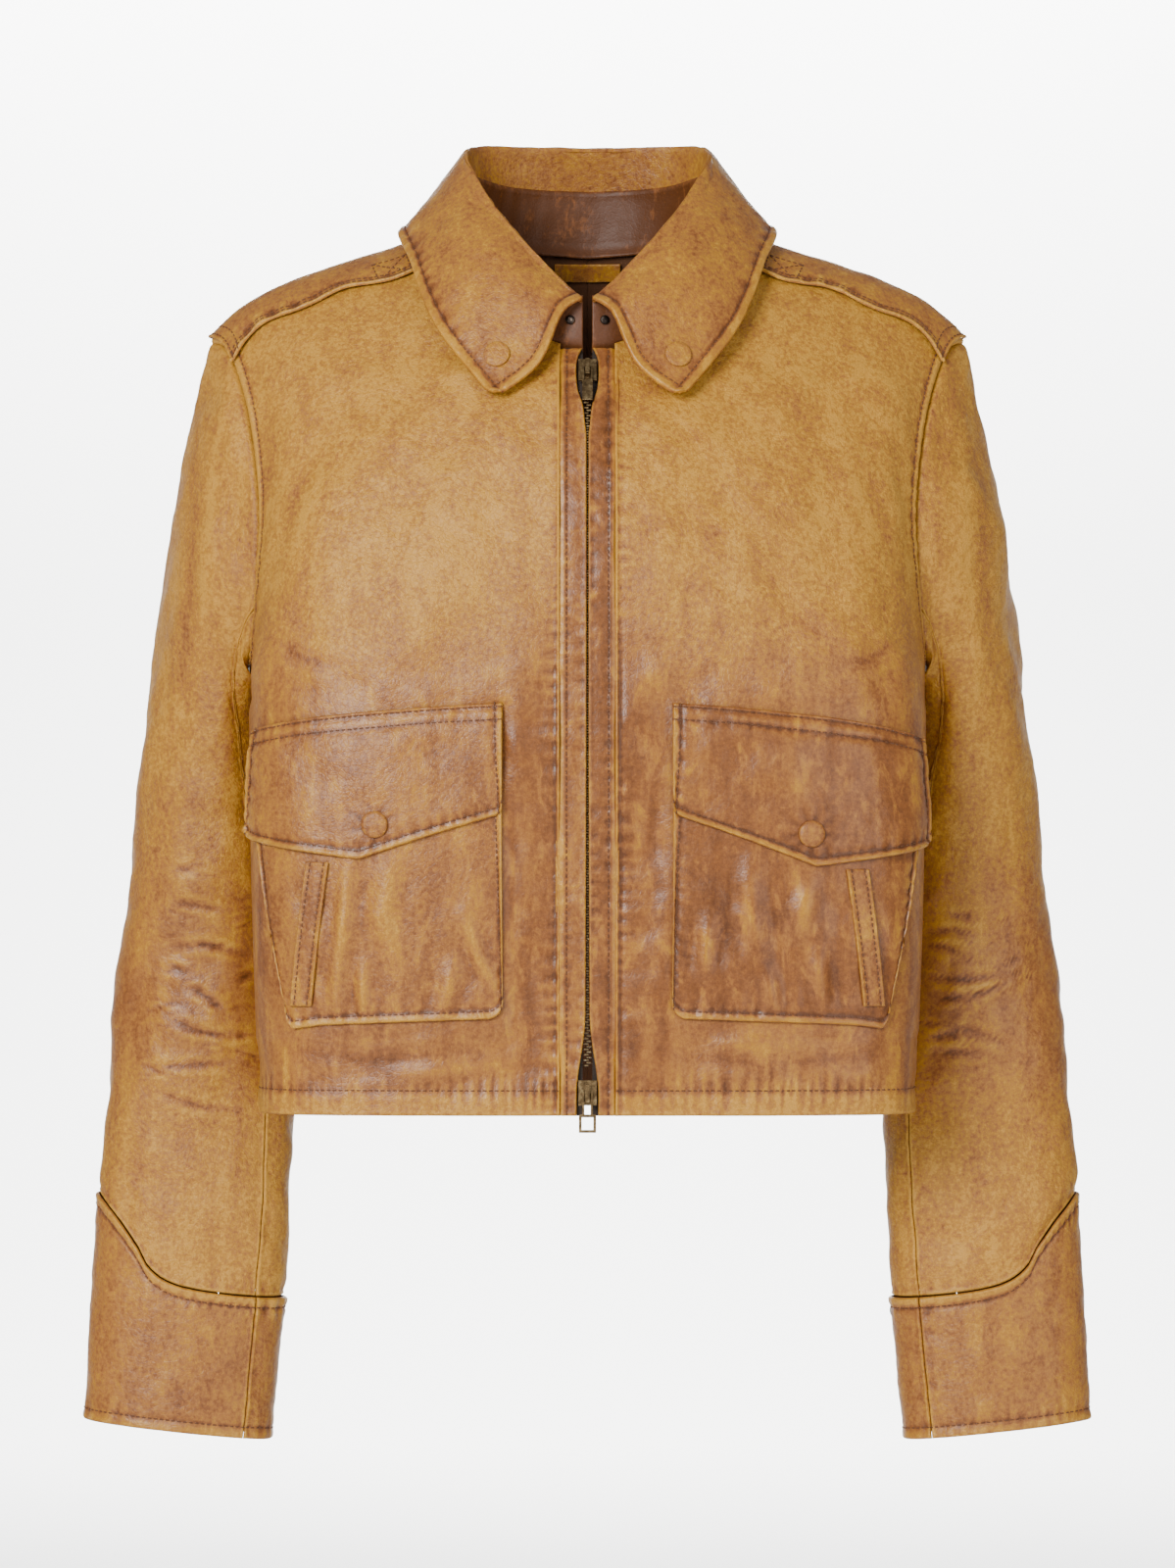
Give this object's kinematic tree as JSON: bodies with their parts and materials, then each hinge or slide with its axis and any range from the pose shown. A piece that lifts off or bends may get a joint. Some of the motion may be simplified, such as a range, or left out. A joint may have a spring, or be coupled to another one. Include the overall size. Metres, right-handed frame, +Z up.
{
  "type": "leather jacket",
  "caption": "Cropped worn leather jacket with shirt collar, shoulder straps, flap pockets, gauntlet cuffs and a front zip, hollow as when worn.",
  "frame": {"origin": "on the centre plane between the shoulder seams, at the height of the neck's sides", "axes": "+Z up, front towards -Y, wearer's left at +X"},
  "size_m": [0.5792, 0.2303, 0.7443],
  "materials": {
    "leather_gold": "waxed, golden tan, rubbed",
    "leather_tan": "waxed tan with worn edges",
    "leather_brown": "waxed brown, glossy on raised parts",
    "zip_tape": "dark woven tape",
    "antique_brass": "dark antique brass, rubbed",
    "dark_metal": "blackened"
  },
  "bodies": {
    "jacket": {"front_right": "leather_gold", "sleeve_top_right": "leather_gold", "sleeve_under_right": "leather_gold", "cuff_top_right": "leather_brown", "cuff_under_right": "leather_brown", "pocket_right": "leather_brown", "flap_right": "leather_brown", "welt_right": "leather_brown", "strap_right": "leather_tan", "placket_right": "leather_brown", "zip_tape_right": "zip_tape", "flap_snap_right": "leather_brown", "collar_snap_right": "leather_gold", "band_snap_right": "dark_metal", "cuff_stud_right": "dark_metal", "front_left": "leather_gold", "sleeve_top_left": "leather_gold", "sleeve_under_left": "leather_gold", "cuff_top_left": "leather_brown", "cuff_under_left": "leather_brown", "pocket_left": "leather_brown", "flap_left": "leather_brown", "welt_left": "leather_brown", "strap_left": "leather_tan", "placket_left": "leather_brown", "zip_tape_left": "zip_tape", "flap_snap_left": "leather_brown", "collar_snap_left": "leather_gold", "band_snap_left": "dark_metal", "cuff_stud_left": "dark_metal", "back": "leather_gold", "collar": "leather_gold", "neck_band": "leather_brown", "hanger_strip": "leather_gold", "zip_chain": "antique_brass", "slider_top": "antique_brass", "slider_bottom": "antique_brass"},
    "pull_top": {"pull_top": "antique_brass"},
    "pull_bottom": {"pull_bottom": "antique_brass"}
  },
  "joints": [
    {"name": "pull_top_swing", "type": "hinge", "parent": "jacket", "child": "pull_top", "pos_m": [0, -0.09107, -0.0834], "axis": [-1, 0, 0], "range_deg": [0, 170]},
    {"name": "pull_bottom_swing", "type": "hinge", "parent": "jacket", "child": "pull_bottom", "pos_m": [0, -0.12293, -0.48712], "axis": [-1, 0, 0], "range_deg": [0, 170]}
  ]
}
